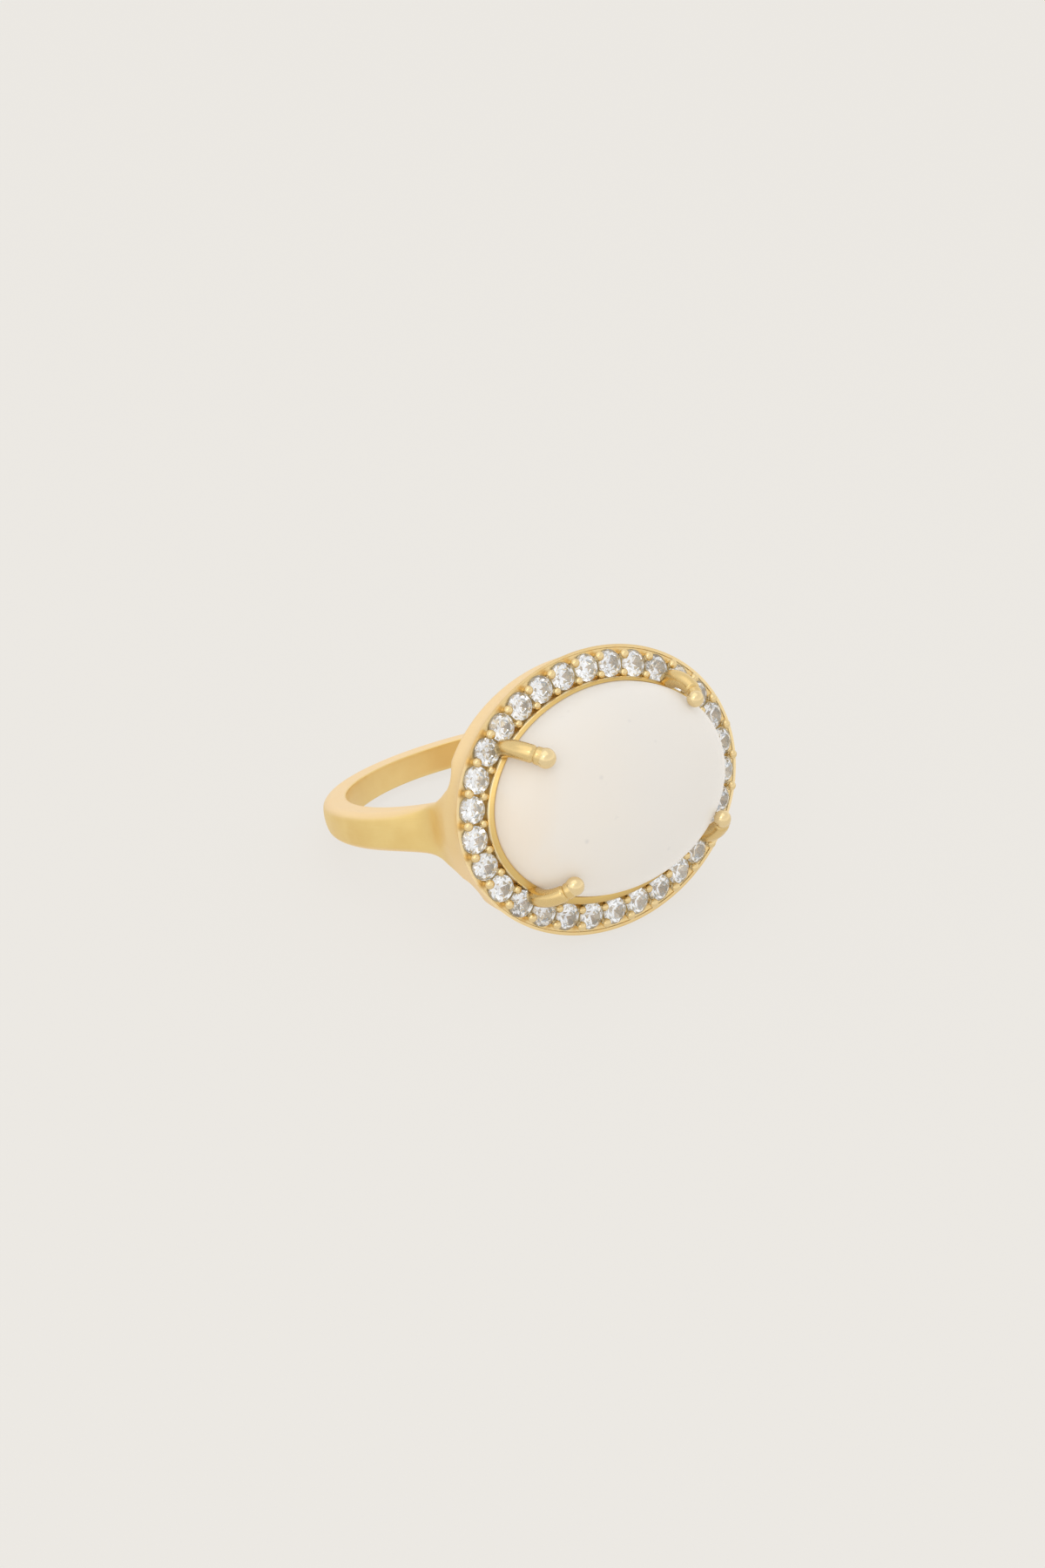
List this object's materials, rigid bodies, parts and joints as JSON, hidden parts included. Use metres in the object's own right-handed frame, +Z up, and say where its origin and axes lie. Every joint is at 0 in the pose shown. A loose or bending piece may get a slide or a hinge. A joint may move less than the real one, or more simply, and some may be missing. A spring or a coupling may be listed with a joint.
{
  "type": "oval cabochon ring",
  "caption": "Finger ring lying on its side: satin gold band and flared oval head, a domed moonstone in four ball claws, and a beaded halo of round brilliants.",
  "frame": {"origin": "middle of the bounding box's base, on the surface that the ring lies on", "axes": "+X along the oval head's length, +Y towards the back of the band, +Z up from the surface; the finger axis leans 20.3 degrees from +Z towards +Y"},
  "size_m": [0.0202, 0.0244, 0.0155],
  "materials": {
    "gold": "satin, polished edges",
    "moonstone": "polished",
    "brilliant": "polished"
  },
  "bodies": {
    "root": {"ring_mount": "gold", "moonstone": "moonstone", "halo_stone_01": "brilliant", "halo_stone_02": "brilliant", "halo_stone_03": "brilliant", "halo_stone_04": "brilliant", "halo_stone_05": "brilliant", "halo_stone_06": "brilliant", "halo_stone_07": "brilliant", "halo_stone_08": "brilliant", "halo_stone_09": "brilliant", "halo_stone_10": "brilliant", "halo_stone_11": "brilliant", "halo_stone_12": "brilliant", "halo_stone_13": "brilliant", "halo_stone_14": "brilliant", "halo_stone_15": "brilliant", "halo_stone_16": "brilliant", "halo_stone_17": "brilliant", "halo_stone_18": "brilliant", "halo_stone_19": "brilliant", "halo_stone_20": "brilliant", "halo_stone_21": "brilliant", "halo_stone_22": "brilliant", "halo_stone_23": "brilliant", "halo_stone_24": "brilliant", "halo_stone_25": "brilliant", "halo_stone_26": "brilliant", "halo_stone_27": "brilliant", "halo_stone_28": "brilliant", "halo_stone_29": "brilliant", "halo_stone_30": "brilliant"}
  },
  "joints": []
}
